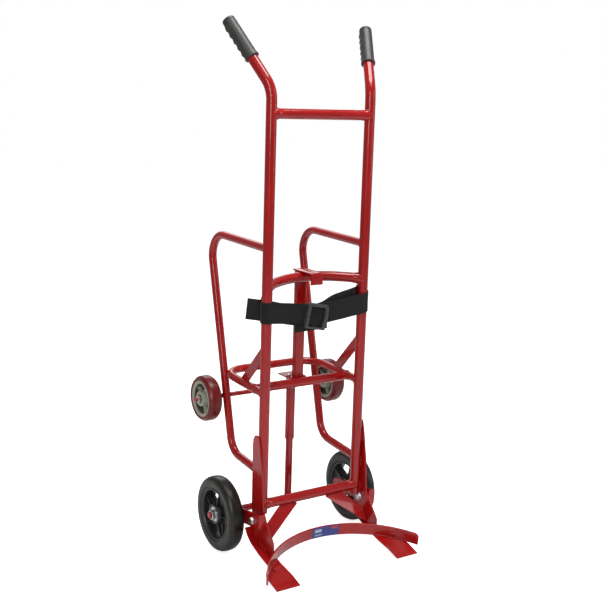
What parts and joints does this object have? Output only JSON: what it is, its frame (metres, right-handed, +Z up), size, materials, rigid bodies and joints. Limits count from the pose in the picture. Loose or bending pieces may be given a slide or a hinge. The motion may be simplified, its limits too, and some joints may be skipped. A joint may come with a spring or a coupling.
{
  "type": "drum dolly",
  "caption": "Upright tubular drum dolly with toe plates and drum arc, sliding rim hook, strap, two load wheels and two tilt-back wheels.",
  "frame": {"origin": "on the floor, centred in plan under the overall box", "axes": "+Z up, +X to the right seen from the drum side, the drum side faces -Y"},
  "size_m": [0.55, 0.529, 1.5389],
  "materials": {
    "red_paint": "gloss powder coat",
    "grip_rubber": "satin moulded rubber",
    "label_film": "printed film",
    "zinc": "bright zinc plate",
    "tyre_rubber": "matt solid rubber",
    "black_hub": "satin black moulding",
    "maroon_tread": "semi-gloss polyurethane",
    "grey_hub": "satin grey moulding",
    "webbing": "woven webbing",
    "buckle_plastic": "satin moulding"
  },
  "bodies": {
    "frame": {"left_upright": "red_paint", "left_grip": "grip_rubber", "right_upright": "red_paint", "right_grip": "grip_rubber", "upper_cross_tube": "red_paint", "lower_cross_tube": "red_paint", "curved_cross_tube": "red_paint", "rear_hoop": "red_paint", "hoop_front_bar": "red_paint", "left_support_loop": "red_paint", "left_hoop_brace": "red_paint", "right_support_loop": "red_paint", "right_hoop_brace": "red_paint", "drum_arc": "red_paint", "arc_label": "label_film", "left_toe_plate": "red_paint", "left_heel_strip": "red_paint", "left_leg_rib": "red_paint", "left_toe_brace": "red_paint", "right_toe_plate": "red_paint", "right_heel_strip": "red_paint", "right_leg_rib": "red_paint", "right_toe_brace": "red_paint", "left_axle_bracket": "red_paint", "left_bracket_bolt": "zinc", "left_bracket_nut": "zinc", "right_axle_bracket": "red_paint", "right_bracket_bolt": "zinc", "right_bracket_nut": "zinc", "front_axle": "red_paint", "rear_axle": "red_paint", "rear_left_axle_washer": "zinc", "rear_left_split_pin": "zinc", "rear_right_axle_washer": "zinc", "rear_right_split_pin": "zinc", "post_tube": "red_paint", "strap_front_left": "webbing", "strap_front_right": "webbing", "strap_back": "webbing", "strap_buckle": "buckle_plastic", "left_strap_keeper": "red_paint", "right_strap_keeper": "red_paint"},
    "hook_slider": {"slider_round_tube": "red_paint", "slider_square_tube": "red_paint", "slider_foot_plate": "red_paint", "slider_lock_bolt": "zinc", "slider_lock_nut": "zinc", "drum_hook": "red_paint"},
    "front_left_wheel": {"front_left_tyre": "tyre_rubber", "front_left_hub": "black_hub", "front_left_bearing": "zinc"},
    "front_right_wheel": {"front_right_tyre": "tyre_rubber", "front_right_hub": "black_hub", "front_right_bearing": "zinc"},
    "rear_left_wheel": {"rear_left_tread": "maroon_tread", "rear_left_hub": "grey_hub", "rear_left_bush": "black_hub"},
    "rear_right_wheel": {"rear_right_tread": "maroon_tread", "rear_right_hub": "grey_hub", "rear_right_bush": "black_hub"}
  },
  "joints": [
    {"name": "front_left_wheel_spin", "type": "hinge", "parent": "frame", "child": "front_left_wheel", "pos_m": [-0.237, 0.07224, 0.1137], "axis": [1, 0, 0], "continuous": true},
    {"name": "front_right_wheel_spin", "type": "hinge", "parent": "frame", "child": "front_right_wheel", "pos_m": [0.237, 0.07224, 0.1137], "axis": [1, 0, 0], "continuous": true},
    {"name": "rear_left_wheel_spin", "type": "hinge", "parent": "frame", "child": "rear_left_wheel", "pos_m": [-0.223, 0.18494, 0.43785], "axis": [1, 0, 0], "continuous": true},
    {"name": "rear_right_wheel_spin", "type": "hinge", "parent": "frame", "child": "rear_right_wheel", "pos_m": [0.223, 0.18494, 0.43785], "axis": [1, 0, 0], "continuous": true},
    {"name": "hook_slide", "type": "slide", "parent": "frame", "child": "hook_slider", "axis": [0, -0.031, 0.9995], "range_m": [0, 0.15]}
  ]
}
